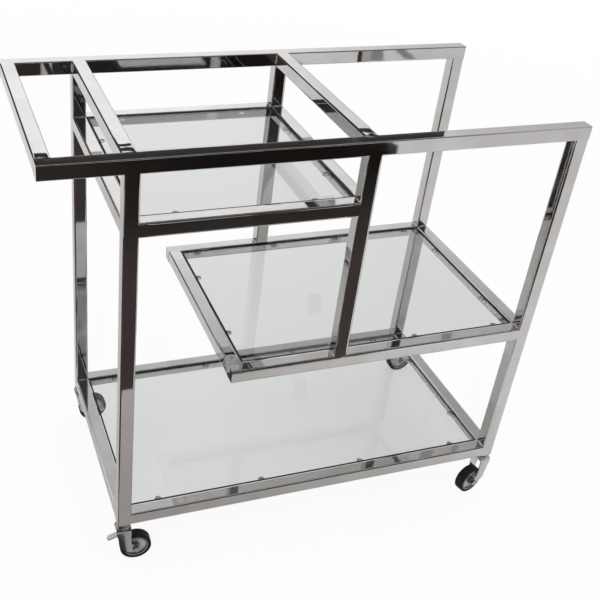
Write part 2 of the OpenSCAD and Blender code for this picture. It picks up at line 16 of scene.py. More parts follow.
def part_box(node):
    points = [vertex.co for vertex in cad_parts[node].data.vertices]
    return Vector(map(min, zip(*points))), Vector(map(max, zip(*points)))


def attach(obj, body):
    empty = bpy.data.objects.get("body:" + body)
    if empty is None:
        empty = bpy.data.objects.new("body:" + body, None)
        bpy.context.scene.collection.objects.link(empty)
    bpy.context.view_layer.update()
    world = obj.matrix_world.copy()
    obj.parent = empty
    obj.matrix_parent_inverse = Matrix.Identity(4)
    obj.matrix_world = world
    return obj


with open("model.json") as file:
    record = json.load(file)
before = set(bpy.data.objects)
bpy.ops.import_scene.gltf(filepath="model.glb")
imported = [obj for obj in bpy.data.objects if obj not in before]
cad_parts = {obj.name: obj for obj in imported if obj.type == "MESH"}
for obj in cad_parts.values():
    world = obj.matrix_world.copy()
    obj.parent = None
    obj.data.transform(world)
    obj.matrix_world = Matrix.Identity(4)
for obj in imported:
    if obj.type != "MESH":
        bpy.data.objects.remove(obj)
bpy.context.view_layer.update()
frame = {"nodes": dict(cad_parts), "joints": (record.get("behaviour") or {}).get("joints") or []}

# Lengths are in metres. Names that end in MM are in millimetres.

# Welds and the tubes they join
WELD_LEG = 0.0026
WELD_RIPPLE = 0.07          # share of the leg
WELD_PITCH = 0.0017         # from ripple to ripple
WELD_TAPER = 0.85           # share of the leg that is lost at both ends of a weld
WELD_STEPS = 49
WELD_ARC_POINTS = 7
TUBE_CORNER = 0.002         # radius of a tube's outer corners
TOUCHING = 0.0002           # sides this close together touch
SMOOTH_BELOW = radians(40)  # edges shallower than this are shaded smooth

# Polish of the tubes. A zone is full up to its first distance and ends at its second.
DRAWN_STRETCH = 0.06        # how much slower the surface changes along a drawn tube
WAVE_SCALE = 55.0
SWAY_MM = 0.03
GRAIN_MM = 0.0008
GROUND_ZONE = (0.012, 0.032)
GROUND_WAVE_MM = 0.05
WANDER_SCALE = 45.0
WANDER = 0.016              # how far the edge of a zone wanders in all
HOLLOW_ZONE = (0.003, 0.034)
HOLLOW_MM = 0.42
SHALLOW_SHARE = 0.25        # of HOLLOW_MM, for tubes that are not deeply ground
DEEPLY_GROUND = ("handle_bar", "top_crossbar_left", "top_crossbar_middle",
                 "middle_shelf_cross_left")
HANDLE_BEYOND = 0.012       # the handle's hollows have their middle this far past its ends
EDGE_ROLL = 0.0036
EDGE_DROP_MM = 1.2
SHARP_TUBES = ("front_top_rail", "rear_top_rail")

# Axle nuts
AXLE_TAIL = 0.0015          # how far the axle stands out of its nut
COLLAR_RADII = (0.0041, 0.0052)
COLLAR_HEIGHT = 0.0011
COLLAR_STEPS = 48
COLLAR_ARC_POINTS = 9

# Wheels: distances from the axle, or from the wheel's middle plane
MOULD_LINE = (0.0006, 0.0002)
SIDE_RING_RADIUS = 0.0252
SIDE_RING = (0.0005, 0.0002)
TREAD = (0.0285, 0.0298)
# Hub radii where the painted shade of its corners begins
HUB_RIM = (0.0192, 0.0203)
HUB_BORE = (0.0098, 0.0086)
HUB_TURNING = 9000.0        # radians of the turning marks for each metre out from the axle

# Shelf glass
# Width of the near-black band along the glass's outline: partly the ground edge, mostly painted
# shade
GROUND_EDGE_AND_SHADE = 0.0022
# Clearness of each shelf's glass: the glass's own tint, and between shelves painted shade, darkest
# on the upper shelf, lightest on the bottom one
SHELF_TINT_AND_SHADE = {"upper": 0.68, "middle": 0.71, "bottom": 0.74}

# Camera: its place and direction over the row frame, and the part of its frame that is kept
CAMERA_PLACE = (-0.6385, -1.3699, 1.4070)
CAMERA_YAW = 21.13
CAMERA_PITCH = -32.37
CAMERA_ROLL = 5.12
CAMERA_LENS = 54.99
CAMERA_SENSOR = 36.0
CAMERA_SHIFT = (0.1233, -0.0350)
CAMERA_CLIP = (0.05, 60.0)

# Studio
FLOOR_HALF = 9.0
FLOOR_GREY = 0.82
SEEN_WHITE = 0.90           # share of plain white in the floor near the cart
THROUGH_WHITE = 0.86        # the same where glass lies between
ROOM_LEVEL = 0.65
CARD_LIFT = 0.002           # cards that lie on the floor are this far above it
LAMP_AIM = (0.0, 0.0, 0.4)


# Node trees

class Value:
    """One output of a node. Arithmetic on it adds Math nodes to the same tree."""

    def __init__(self, socket):
        self.socket = socket

    def math(self, operation, *operands):
        return node(self.socket.id_data, "ShaderNodeMath", {"operation": operation},
                    dict(enumerate(operands)))

    def __add__(self, other):
        return self.math("ADD", self, other)

    __radd__ = __add__

    def __sub__(self, other):
        return self.math("SUBTRACT", self, other)

    def __rsub__(self, other):
        return self.math("SUBTRACT", other, self)

    def __mul__(self, other):
        return self.math("MULTIPLY", self, other)

    __rmul__ = __mul__

    def __abs__(self):
        return self.math("ABSOLUTE", self)

    def highest(self, other):
        return self.math("MAXIMUM", self, other)

    def lowest(self, other):
        return self.math("MINIMUM", self, other)

    def wave(self):
        return self.math("SINE", self)

    def rise(self, start, end):
        """Smooth step: 0 up to start, 1 from end on. With start above end it falls."""
        return node(self.socket.id_data, "ShaderNodeMapRange", {"interpolation_type": "SMOOTHSTEP"},
                    {"Value": self, "From Min": start, "From Max": end})


def node(tree, kind, settings=None, inputs=None, output=0):
    """Adds a node, sets its settings, then gives its sockets values or links."""
    made = tree.nodes.new(kind)
    for name, value in (settings or {}).items():
        setattr(made, name, value)
    for key, value in (inputs or {}).items():
        if isinstance(value, Value):
            tree.links.new(value.socket, made.inputs[key])
        else:
            made.inputs[key].default_value = value
    return Value(made.outputs[output])


def new_tree(name):
    """An empty material and its node tree."""
    material = bpy.data.materials.new(name)
    material.use_nodes = True
    material.node_tree.nodes.clear()
    return material, material.node_tree


def surface(tree, shader, kind="ShaderNodeOutputMaterial"):
    """Ends a node tree with this shader."""
    tree.links.new(shader.socket, tree.nodes.new(kind).inputs["Surface"])


def principled(tree, **sockets):
    """Principled shader; base_color stands for the socket Base Color, and so on."""
    return node(tree, "ShaderNodeBsdfPrincipled", None,
                {name.replace("_", " ").title().replace("Ior", "IOR"): value
                 for name, value in sockets.items()})


def place(tree):
    """The point of the surface in the row frame, in metres."""
    return node(tree, "ShaderNodeTexCoord", output="Object")


def vector(tree, operation, *operands, output=0):
    """Arithmetic on vectors. The output Value is for results that are one number."""
    return node(tree, "ShaderNodeVectorMath", {"operation": operation},
                dict(enumerate(operands)), output)


def noise(tree, at, scale, detail=2.0, roughness=0.5):
    """Noise of about 0 to 1, its cells 1 / scale metres across."""
    return node(tree, "ShaderNodeTexNoise", None,
                {"Vector": at, "Scale": scale, "Detail": detail, "Roughness": roughness})


def tint(tree, share, low, high):
    """Colour that goes from low to high as share goes from 0 to 1."""
    low, high = (end if isinstance(end, Value) else (*end, 1) for end in (low, high))
    return node(tree, "ShaderNodeMix", {"data_type": "RGBA"}, {0: share, 6: low, 7: high}, output=2)


def raised(tree, height, depth):
    """Normal of a surface with this height pattern, where a height of 1 is depth metres."""
    return node(tree, "ShaderNodeBump", None,
                {"Height": height, "Distance": depth, "Strength": 1.0})


def part_of(tree, source, index):
    """One coordinate of a vector: 0 for X, 1 for Y, 2 for Z."""
    return node(tree, "ShaderNodeSeparateXYZ", None, {0: source}, output=index)


def blended(tree, share, first, second):
    """Shader that goes from the first to the second as share goes from 0 to 1."""
    return node(tree, "ShaderNodeMixShader", None, {0: share, 1: first, 2: second})


def ray(tree, kind):
    """1 for rays of this kind, such as Is Camera Ray."""
    return node(tree, "ShaderNodeLightPath", output=kind)


def mirrored(tree):
    """1 for rays that a mirror has turned, also where they went on through glass."""
    return ray(tree, "Glossy Depth").lowest(1.0)


# Shapes

def box_of(name):
    """Lowest and highest corner of a node as the two rows of an array."""
    return np.array([list(corner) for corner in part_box(name)])


def vertices_of(name):
    """Every vertex of a node's mesh, one row each."""
    mesh = frame["nodes"][name].data
    points = np.empty(3 * len(mesh.vertices))
    mesh.vertices.foreach_get("co", points)
    return points.reshape(-1, 3)


def new_object(name, data):
    """A new object of the scene."""
    made = bpy.data.objects.new(name, data)
    bpy.context.scene.collection.objects.link(made)
    return made


def new_mesh(name, points, faces, material):
    """A mesh of one material from its points and faces."""
    mesh = bpy.data.meshes.new(name)
    mesh.from_pydata(points, [], faces)
    mesh.materials.append(material)
    return mesh


def new_piece(name, points, faces, material, body):
    """A piece of the cart from its points and faces, smooth where its edges are shallow."""
    mesh = new_mesh(name, points.tolist(), faces, material)
    mesh.shade_smooth()
    mesh.set_sharp_from_angle(angle=SMOOTH_BELOW)
    piece = new_object(name, mesh)
    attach(piece, body)
    return piece


def wall_faces(rings, around, closed, first=0):
    """Quads between neighbouring rings of points; closed joins the last ring to the first."""
    count = rings if closed else rings - 1
    ring, spot = np.meshgrid(np.arange(count), np.arange(around), indexing="ij")
    ahead = (ring + 1) % rings
    beside = (spot + 1) % around
    corners = [ring * around + spot, ring * around + beside,
               ahead * around + beside, ahead * around + spot]
    return (np.stack(corners, -1).reshape(-1, 4) + first).tolist()


def tube_joints(boxes):
    """Every place where the end of one tube meets the side of another.

    Along one axis an end plane of the first tube is a side plane of the second, and the
    first tube's section lies within that side. Gives both names, the axis and which end.
    """
    found = []
    for first, a in boxes.items():
        for second, b in boxes.items():
            for axis in range(3):
                across = [i for i in range(3) if i != axis]
                inside = all(b[0, i] <= a[0, i] + TOUCHING and a[1, i] <= b[1, i] + TOUCHING
                             for i in across)
                for end in (0, 1):
                    gap = abs(a[end, axis] - b[1 - end, axis])
                    if first != second and inside and gap < TOUCHING:
                        found.append((first, second, axis, end))
    return found


def joint_centre(boxes, joint, beyond=0.0):
    """Middle of the joint's plane, or a point this far beyond it, inside the second tube."""
    first, _, axis, end = joint
    centre = boxes[first].mean(0)
    centre[axis] = boxes[first][end, axis] + (2 * end - 1) * beyond
    return centre


def joint_sides(boxes, joint):
    """The four lines where the sides of a joint's first tube end at the second tube.

    Each is the step from that side to the second tube's own side, the line's start, its
    direction, its length, and the direction out of the side. The last result is the
    direction that leaves the joint along the first tube.
    """
    first, second, axis, end = joint
    a, b = boxes[first], boxes[second]
    unit = np.eye(3)
    lines = []
    for i in [k for k in range(3) if k != axis]:
        along = 3 - axis - i
        for side in (0, 1):
            start = np.empty(3)
            start[axis] = a[end, axis]
            start[i] = a[side, i]
            start[along] = a[0, along] + TUBE_CORNER
            length = a[1, along] - a[0, along] - 2 * TUBE_CORNER
            step = abs(b[side, i] - a[side, i])
            lines.append((step, start, unit[along], length, unit[i] * (2 * side - 1)))
    return lines, unit[axis] * (1 - 2 * end)


def facing_out(rings, along, out, away):
    """The rings in the order that turns the faces between them outward."""
    return rings[::-1] if np.dot(np.cross(away, out), along) > 0 else rings


def weld_fillets(boxes, joint):
    """Rings of the weld fillets in a joint's open corners, where the second tube goes on.

    A fillet is a hollow quarter round whose leg ripples along the corner. At s along it the
    leg is WELD_LEG * (1 + ripple * sin(2 pi s / pitch)), drawn in at both ends by the
    fourth power of the distance from the middle. A ring is the corner, then the arc
    (leg * (1 - sin t), leg * (1 - cos t)) for t from 0 to a quarter turn.
    """
    s = np.linspace(0, 1, WELD_STEPS)
    t = np.linspace(0, pi / 2, WELD_ARC_POINTS)
    outward = np.concatenate([[0], 1 - np.sin(t)])
    upward = np.concatenate([[0], 1 - np.cos(t)])
    lines, away = joint_sides(boxes, joint)
    found = []
    for step, start, along, length, out in lines:
        if step < WELD_LEG:
            continue
        leg = WELD_LEG * (1 + WELD_RIPPLE * np.sin(2 * pi * s * length / WELD_PITCH))
        leg *= 1 - WELD_TAPER * (2 * s - 1) ** 4
        centre = start + s[:, None] * length * along
        arc = outward[None, :, None] * out + upward[None, :, None] * away
        found.append(facing_out(centre[:, None] + leg[:, None, None] * arc, along, out, away))
    return found


def ground_fills(boxes, joint):
    """Rings of the weld metal where a joint was ground flush.

    On a side that both tubes share, the round corner of the second tube leaves a groove at
    the end of the first. A prism fills it: it has a square corner at the joint, one flat
    side in the shared side, and a hollow side, the arc (r sin t - r, r cos t - r).
    """
    t = np.linspace(0, pi / 2, WELD_ARC_POINTS)
    depth = np.concatenate([[0], 1 - np.sin(t)]) * TUBE_CORNER
    drop = np.concatenate([[0], 1 - np.cos(t)]) * TUBE_CORNER
    lines, away = joint_sides(boxes, joint)
    found = []
    for step, start, along, length, out in lines:
        if step > TOUCHING:
            continue
        ring = start - depth[:, None] * away - drop[:, None] * out
        found.append(facing_out(np.stack([ring, ring + length * along]), along, out, away))
    return found


def weld_piece(name, shapes, material):
    """One piece of weld metal from closed shapes: rings of points with flat ends."""
    points, faces = [], []
    first = 0
    for rings in shapes:
        count, around = rings.shape[:2]
        last = first + (count - 1) * around
        points.append(rings.reshape(-1, 3))
        faces += wall_faces(count, around, False, first)
        faces.append([first + i for i in range(around)][::-1])
        faces.append([last + i for i in range(around)])
        first = last + around
    return new_piece(name, np.concatenate(points), faces, material, "cart_frame")


def wheel_axis(corner):
    """Middle of a wheel and the direction of its axle, from the wheel's joint."""
    joint = next(j for j in frame["joints"] if j["name"] == corner + "_wheel_spin")
    return np.array(joint["pos_m"]), np.array(joint["axis"])


def nut_collar(corner, material):
    """The locking collar that stands out of an axle nut: a ring with a domed section.

    Its section is half of the curve |x| ** 4 + |y| ** 2 = 1, turned round the axle.
    """
    centre, axis = wheel_axis(corner)
    base = ((vertices_of(corner + "_axle") - centre) @ axis).max() - AXLE_TAIL
    inner, outer = COLLAR_RADII
    t = np.linspace(0, pi, COLLAR_ARC_POINTS)
    across = np.sign(np.cos(t)) * np.sqrt(np.abs(np.cos(t)))
    radius = (inner + outer) / 2 + (outer - inner) / 2 * across
    height = base + COLLAR_HEIGHT * np.sin(t)
    side = np.cross(axis, [0, 0, 1])
    turn = np.linspace(0, 2 * pi, COLLAR_STEPS, endpoint=False)
    spoke = np.cos(turn)[:, None] * side + np.sin(turn)[:, None] * np.cross(axis, side)
    points = centre + radius[None, :, None] * spoke[:, None] + height[None, :, None] * axis
    faces = wall_faces(COLLAR_STEPS, COLLAR_ARC_POINTS, True)
    return new_piece(corner + "_nut_collar", points.reshape(-1, 3), faces, material,
                     corner + "_swivel")


# Finishes

def nearness(tree, at, centres, zone):
    """1 at any of these points, 0 outside the zone round them, whose edge wanders."""
    level = None
    wander = noise(tree, at, WANDER_SCALE, detail=1.0) * WANDER - WANDER / 2
    for centre in centres:
        away = vector(tree, "DISTANCE", at, centre, output="Value") + wander
        near = away.rise(zone[1], zone[0])
        level = near if level is None else level.highest(near)
    return level


def from_middle(tree, at, box):
    """Distance of a point from a box's middle along each axis, and the box's half sizes."""
    middle, half = box.mean(0), (box[1] - box[0]) / 2
    return vector(tree, "ABSOLUTE", vector(tree, "SUBTRACT", at, middle.tolist())), half


def edge_roll(tree, at, box, lengthwise):
    """1 at the long edges of a square tube, falling to 0 at EDGE_ROLL in from them."""
    offset, half = from_middle(tree, at, box)
    across = [i for i in range(3) if i != lengthwise]
    first, second = (part_of(tree, offset, i) for i in across)
    from_edge = float(half[across].sum()) - first - second
    return (EDGE_ROLL - from_edge).highest(0.0) * (1 / EDGE_ROLL)


def polished_chrome(name, lengthwise, own_ends=(), joints=(), box=None, hollow_mm=0.0):
    """Chrome plate on a drawn tube: polished along the tube and a little wavy.

    own_ends are the middles of the shallow hollows that grinding left at the tube's own
    ends. joints are all the places that were ground, which are more wavy than the rest.
    With a box, the flat sides roll off a little before the tube's long edges.
    """
    material, tree = new_tree(name)
    at = place(tree)
    stretch = [1.0, 1.0, 1.0]
    stretch[lengthwise] = DRAWN_STRETCH
    drawn = vector(tree, "MULTIPLY", at, stretch)
    grain = noise(tree, drawn, scale=700.0, detail=3.0)
    speck = noise(tree, at, scale=1500.0)
    haze = noise(tree, at, scale=16.0, detail=4.0, roughness=0.6)
    sway = noise(tree, drawn, WAVE_SCALE, detail=1.0)
    ripple = noise(tree, at, WAVE_SCALE, detail=1.0)
    height_mm = sway * SWAY_MM + grain * GRAIN_MM
    if own_ends:
        hollow = nearness(tree, at, own_ends, HOLLOW_ZONE)
        height_mm = height_mm - hollow * (ripple * 0.3 + 0.85) * hollow_mm
    if joints:
        near = nearness(tree, at, joints, GROUND_ZONE)
        height_mm = height_mm + ripple * near * GROUND_WAVE_MM
        if box is not None:
            roll = edge_roll(tree, at, box, lengthwise)
            height_mm = height_mm - roll * roll * (1 - near) * EDGE_DROP_MM
    surface(tree, principled(
        tree,
        base_color=tint(tree, haze.rise(0.35, 0.7) * 0.7 + speck * 0.3,
                        low=(0.585, 0.57, 0.56), high=(0.67, 0.66, 0.655)),
        metallic=1.0,
        roughness=0.022 + grain * 0.02 + haze.rise(0.5, 0.75) * 0.03,
        normal=raised(tree, height_mm, depth=0.001)))
    return material


def weld_chrome():
    """Chrome plate over a weld fillet, which keeps some of the bead's texture."""
    material, tree = new_tree("weld_chrome")
    grit = noise(tree, place(tree), scale=900.0)
    surface(tree, principled(
        tree,
        base_color=tint(tree, grit, low=(0.50, 0.49, 0.48), high=(0.66, 0.65, 0.645)),
        metallic=1.0,
        roughness=0.10 + grit * 0.10,
        normal=raised(tree, grit, depth=0.0001)))
    return material


def shelf_glass(name, box, tint_and_shade):
    """Clear float glass, faintly green, with a near-black band along its outline: partly the ground
    edge, mostly painted shade of the gap at the rails and of the edge seen through the glass.
    Light passes to the floor.

    The band's mask is 1 within GROUND_EDGE_AND_SHADE of the panel's outline.
    """
    material, tree = new_tree(name)
    at = place(tree)
    offset, half = from_middle(tree, at, box)
    x, y = (part_of(tree, offset, i) for i in range(2))
    # Painted shade: mask of the near-black band along the outline, partly the ground edge
    edge = (x - half[0]).highest(y - half[1]).rise(-1.2 * GROUND_EDGE_AND_SHADE, -GROUND_EDGE_AND_SHADE)
    smudge = noise(tree, at, scale=7.0, detail=5.0, roughness=0.55)
    clear = principled(
        tree,
        # The glass's tint, with painted shade that differs from shelf to shelf
        base_color=(0.98 * tint_and_shade, tint_and_shade, 0.985 * tint_and_shade, 1),
        roughness=0.0,
        transmission_weight=1.0,
        ior=1.50,
        normal=raised(tree, noise(tree, at, scale=3.0, detail=1.0), depth=0.0006))
    # Near-black band: the ground edge and painted shade of the gap and of the edge seen through the
    # glass
    ground = principled(
        tree,
        base_color=tint(tree, noise(tree, at, scale=600.0),
                        low=(0.006, 0.010, 0.009), high=(0.03, 0.045, 0.04)),
        roughness=0.45 + smudge * 0.2,
        specular_ior_level=0.25)
    panel = blended(tree, edge, clear, ground)
    shade = node(tree, "ShaderNodeBsdfTransparent", None, {"Color": (0.88, 0.90, 0.89, 1)})
    surface(tree, blended(tree, ray(tree, "Is Shadow Ray"), panel, shade))
    return material


def clear_bumper():
    """Soft milky plastic of the bumpers under the glass."""
    material, tree = new_tree("clear_bumper")
    speck = noise(tree, place(tree), scale=500.0)
    surface(tree, principled(
        tree,
        base_color=tint(tree, speck, low=(0.90, 0.93, 0.92), high=(0.96, 0.97, 0.97)),
        roughness=0.20 + speck * 0.2,
        transmission_weight=0.05,
        ior=1.46))
    return material


def satin_zinc(name, low, high, shine):
    """Zinc plate on stamped or turned steel: cloudy and finely scratched, brighter in patches."""
    material, tree = new_tree(name)
    at = place(tree)
    cloud = noise(tree, at, scale=60.0, detail=3.0)
    scratch = noise(tree, vector(tree, "MULTIPLY", at, (1.0, 1.0, 0.12)), scale=1600.0)
    surface(tree, principled(
        tree,
        base_color=tint(tree, cloud.rise(0.3, 0.7), low, high),
        metallic=1.0,
        roughness=shine + scratch * 0.10,
        normal=raised(tree, scratch * 0.3 + cloud * 0.7, depth=0.00002)))
    return material


def along_and_out(tree, at, corner):
    """Distance along a wheel's axle from its middle, and distance out from the axle."""
    centre, axis = wheel_axis(corner)
    offset = vector(tree, "SUBTRACT", at, centre.tolist())
    along = vector(tree, "DOT_PRODUCT", offset, axis.tolist(), output="Value")
    across = vector(tree, "CROSS_PRODUCT", offset, axis.tolist())
    return along, vector(tree, "LENGTH", across, output="Value")


def tyre_rubber(corner):
    """Black moulded rubber: a mould line round the tread, rings on the sides, floor dust."""
    material, tree = new_tree(corner + "_rubber")
    at = place(tree)
    along, out = along_and_out(tree, at, corner)
    pores = noise(tree, at, scale=1300.0, detail=3.0)
    dust = noise(tree, at, scale=90.0, detail=5.0, roughness=0.65)
    mould_line = abs(along).rise(*MOULD_LINE)
    side_ring = abs(out - SIDE_RING_RADIUS).rise(*SIDE_RING)
    wear = dust.rise(0.45, 0.75) * out.rise(*TREAD)
    surface(tree, principled(
        tree,
        base_color=tint(tree, wear * 0.4 + dust * 0.1,
                        low=(0.006, 0.006, 0.006), high=(0.045, 0.042, 0.040)),
        roughness=0.46 + dust * 0.2 + wear * 0.15,
        specular_ior_level=0.25,
        normal=raised(tree, mould_line + side_ring + pores * 0.15, depth=0.00025)))
    return material


def hub_plastic(corner):
    """Grey moulded hub with faint turning marks, a glossy skin, and painted shade in its corners at
    the rim and round the bore.
    """
    material, tree = new_tree(corner + "_hub_plastic")
    at = place(tree)
    _, out = along_and_out(tree, at, corner)
    cloud = noise(tree, at, scale=260.0, detail=3.0)
    rings = (out * HUB_TURNING).wave() * 0.5 + 0.5
    # Painted shade: the hub is darker in its corners at the rim and round its bore
    rim_and_bore_shade = out.rise(*HUB_RIM).highest(out.rise(*HUB_BORE))
    surface(tree, principled(
        tree,
        base_color=tint(tree, rim_and_bore_shade * 0.7 + cloud * 0.2,
                        low=(0.74, 0.74, 0.74), high=(0.12, 0.12, 0.12)),
        metallic=0.9,
        roughness=0.20 + cloud * 0.10,
        coat_weight=0.3,
        normal=raised(tree, rings + cloud * 0.6, depth=0.00002)))
    return material


def moulded_nylon(name, colour):
    """Plain matt nylon, a little uneven in colour."""
    material, tree = new_tree(name)
    grit = noise(tree, place(tree), scale=900.0, detail=3.0)
    surface(tree, principled(
        tree,
        base_color=tint(tree, grit, [0.8 * c for c in colour], [1.2 * c for c in colour]),
        roughness=0.45 + grit * 0.15,
        normal=raised(tree, grit, depth=0.00004)))
    return material


def dress(name, material):
    """Gives a CAD node its finish."""
    for slot in frame["nodes"][name].material_slots:
        slot.material = material


# The cart

def tube_names():
    """The nodes that are tubes, by the ends of their names."""
    ends = ("_rail", "_post", "handle_bar", "crossbar_left", "crossbar_middle",
            "_cross_left", "_cross_right")
    return [name for name in frame["nodes"] if name.endswith(ends)]


def dress_tubes():
    """Chrome on every tube, then weld metal at every joint between them."""
    boxes = {name: box_of(name) for name in tube_names()}
    joints = tube_joints(boxes)
    for name, box in boxes.items():
        beyond = HANDLE_BEYOND if name == "handle_bar" else 0.0
        own_ends = [joint_centre(boxes, joint, beyond).tolist()
                    for joint in joints if name == joint[0]]
        crossing = [joint_centre(boxes, joint).tolist() for joint in joints if name == joint[1]]
        lengthwise = int(np.argmax(box[1] - box[0]))
        rolled = None if name in SHARP_TUBES else box
        hollow_mm = HOLLOW_MM if name in DEEPLY_GROUND else SHALLOW_SHARE * HOLLOW_MM
        dress(name, polished_chrome(name + "_chrome", lengthwise, own_ends,
                                    own_ends + crossing, rolled, hollow_mm))
    weld_tubes(boxes, joints)


def weld_tubes(boxes, joints):
    """The weld metal of the top frame and of each shelf; a joint goes to the nearest level."""
    levels = {"top_frame": boxes["handle_bar"].mean(0)[2]}
    for shelf in SHELF_TINT_AND_SHADE:
        levels[shelf + "_shelf"] = boxes["front_%s_shelf_rail" % shelf].mean(0)[2]
    groups = {group: [] for group in levels}
    for joint in joints:
        height = joint_centre(boxes, joint)[2]
        groups[min(levels, key=lambda group: abs(levels[group] - height))].append(joint)
    seams = weld_chrome()
    for group, members in groups.items():
        corners = [rings for joint in members for rings in weld_fillets(boxes, joint)]
        weld_piece(group + "_welds", corners, seams)
        fills = [rings for joint in members for rings in ground_fills(boxes, joint)]
        centres = [joint_centre(boxes, joint).tolist() for joint in members]
        weld_piece(group + "_ground_welds", fills,
                   polished_chrome(group + "_ground_chrome", lengthwise=2, joints=centres))


def dress_shelves():
    """Glass, tabs and bumpers of the shelves, and the trims in the tube ends."""
    plain_chrome = polished_chrome("tab_chrome", lengthwise=2)
    bumper = clear_bumper()
    for shelf, tint_and_shade in SHELF_TINT_AND_SHADE.items():
        glass = shelf + "_shelf_glass"
        dress(glass, shelf_glass(glass, box_of(glass), tint_and_shade))
        dress(shelf + "_shelf_tabs", plain_chrome)
        dress(shelf + "_shelf_bumpers", bumper)
    dress("tube_end_caps", plain_chrome)
    dress("post_plugs", moulded_nylon("plug_nylon", (0.03, 0.03, 0.03)))


def dress_casters():
    """Finishes of the four casters and the two brakes, and the collars of the axle nuts."""
    fork = satin_zinc("fork_zinc", (0.58, 0.575, 0.57), (0.68, 0.675, 0.67), shine=0.12)
    turned = satin_zinc("turned_zinc", (0.30, 0.30, 0.30), (0.50, 0.50, 0.50), shine=0.18)
    balls = satin_zinc("ball_steel", (0.50, 0.50, 0.50), (0.58, 0.58, 0.58), shine=0.05)
    dress("bearing_balls", balls)
    collar = moulded_nylon("collar_nylon", (0.55, 0.55, 0.53))
    for corner in ("front_left", "front_right", "rear_left", "rear_right"):
        dress(corner + "_stem", turned)
        dress(corner + "_fork", fork)
        dress(corner + "_axle", turned)
        dress(corner + "_hub", hub_plastic(corner))
        dress(corner + "_tyre", tyre_rubber(corner))
        nut_collar(corner, collar)
    for corner in ("front_left", "rear_right"):
        dress(corner + "_brake_pedal", fork)
        dress(corner + "_brake_rivet", turned)


# Studio. The numbers in these rises are places along X and Y of the row frame.

def floor_paint():
    """Pale floor: nearly white to the camera and through the glass, but for the cart's shadow.

    In mirrors it is painted with light and shade: grey, as painted shade near the cart, and paler
    on the right, behind the cart and far out in front, with some light of its own under the cart
    and in the two far parts. Through the glass it has painted shade under the right part of the
    cart and far behind.
    """
    material, tree = new_tree("floor_paint")
    turned = mirrored(tree)
    seen = ray(tree, "Is Camera Ray")
    through = ray(tree, "Is Transmission Ray") * (1 - turned)
    at = place(tree)
    x, y = (part_of(tree, at, i) for i in range(2))

    # Painted light and shade of the floor in mirrors: grey near the cart for its shade, lighter
    # away from it, with painted shade in the far left corner
    left_corner_shade = x.rise(-0.33, -0.45) * y.rise(1.5, 1.1) * 0.45
    behind = y.rise(-0.30, -0.10) * x.rise(0.3, 0.0) * (1 - left_corner_shade)
    painted_light_share = (x.rise(-0.4, 0.7) * 0.9).highest(behind).highest(y.rise(-1.75, -2.1))
    in_mirrors = tint(tree, painted_light_share, low=(0.53, 0.50, 0.488), high=(0.90, 0.895, 0.89))
    plain = tint(tree, seen.highest(through), low=(FLOOR_GREY,) * 3, high=(1.0, 1.0, 1.0))
    colour = tint(tree, turned, plain, in_mirrors)
    base = node(tree, "ShaderNodeBsdfDiffuse", None, {"Color": colour})

    away = vector(tree, "LENGTH", at, output="Value").rise(1.6, 4.0)
    to_camera = SEEN_WHITE + away * (1 - SEEN_WHITE)
    # Painted shade through the glass: less plain white under the right part of the cart and far
    # behind, so the floor looks darker there
    shade_under_right = x.rise(-0.15, 0.45) * y.rise(0.32, 0.18) * 0.18
    through_glass = THROUGH_WHITE - shade_under_right - y.rise(0.7, 1.4) * 0.06
    beneath = (y.rise(-0.20, -0.12) * x.rise(-0.33, -0.20) * x.rise(0.46, 0.40)
               * y.rise(1.0, 0.7) * 0.4)
    far_behind = y.rise(1.25, 1.6) * 0.12 + y.rise(1.8, 2.0) * 0.2
    far_in_front = y.rise(-1.95, -2.1) * x.rise(1.2, 0.9) * 0.6
    share = (seen * to_camera + through * through_glass
             + turned * (beneath + far_behind + far_in_front))
    white = node(tree, "ShaderNodeEmission", None, {"Color": (1, 1, 1, 1), "Strength": 1.0})
    surface(tree, blended(tree, share, base, white))
    return material


def card_paint(name, low, high):
    """Even light of a card that only mirrors see, also through glass, with soft patches.

    From the cart's place on, and on the left, it is a little lighter than far out in
    front. The front left corner is blotched: there the patches go all the way.
    """
    material, tree = new_tree(name)
    at = place(tree)
    patch = noise(tree, at, scale=1.6, detail=3.0)
    x, y = (part_of(tree, at, i) for i in range(2))
    nearer = y.rise(-1.8, -1.0).highest(x.rise(0.35, -0.35) * 0.45)
    blotched = x.rise(-0.80, -0.90) * y.rise(-1.1, -1.3) * (patch * 6.0).wave() * 5.0
    colour = tint(tree, nearer * (patch + 0.3) + blotched, low, high)
    light = node(tree, "ShaderNodeEmission", None, {"Color": colour, "Strength": 1.0})
    open_air = node(tree, "ShaderNodeBsdfTransparent")
    surface(tree, blended(tree, mirrored(tree), open_air, light))
    return material


def flat_stage(name, corners, material):
    """A flat polygon that belongs to the studio."""
    made = new_object(name, new_mesh(name, corners, [list(range(len(corners)))], material))
    return made


def mirror_card(name, corners, material):
    """A card that only reflections see."""
    card = flat_stage(name, corners, material)
    card.visible_camera = False
    card.visible_diffuse = False
    card.visible_shadow = False
    return card


def on_floor(outline):
    """Corners of a card that lies on the floor."""
    return [(x, y, CARD_LIFT) for x, y in outline]


def upright(y, x0, x1, z0, z1, lean=0.0):
    """Corners of a card that stands across the view at y; lean shifts its top along X."""
    return [(x0, y, z0), (x1, y, z0), (x1 + lean, y, z1), (x0 + lean, y, z1)]


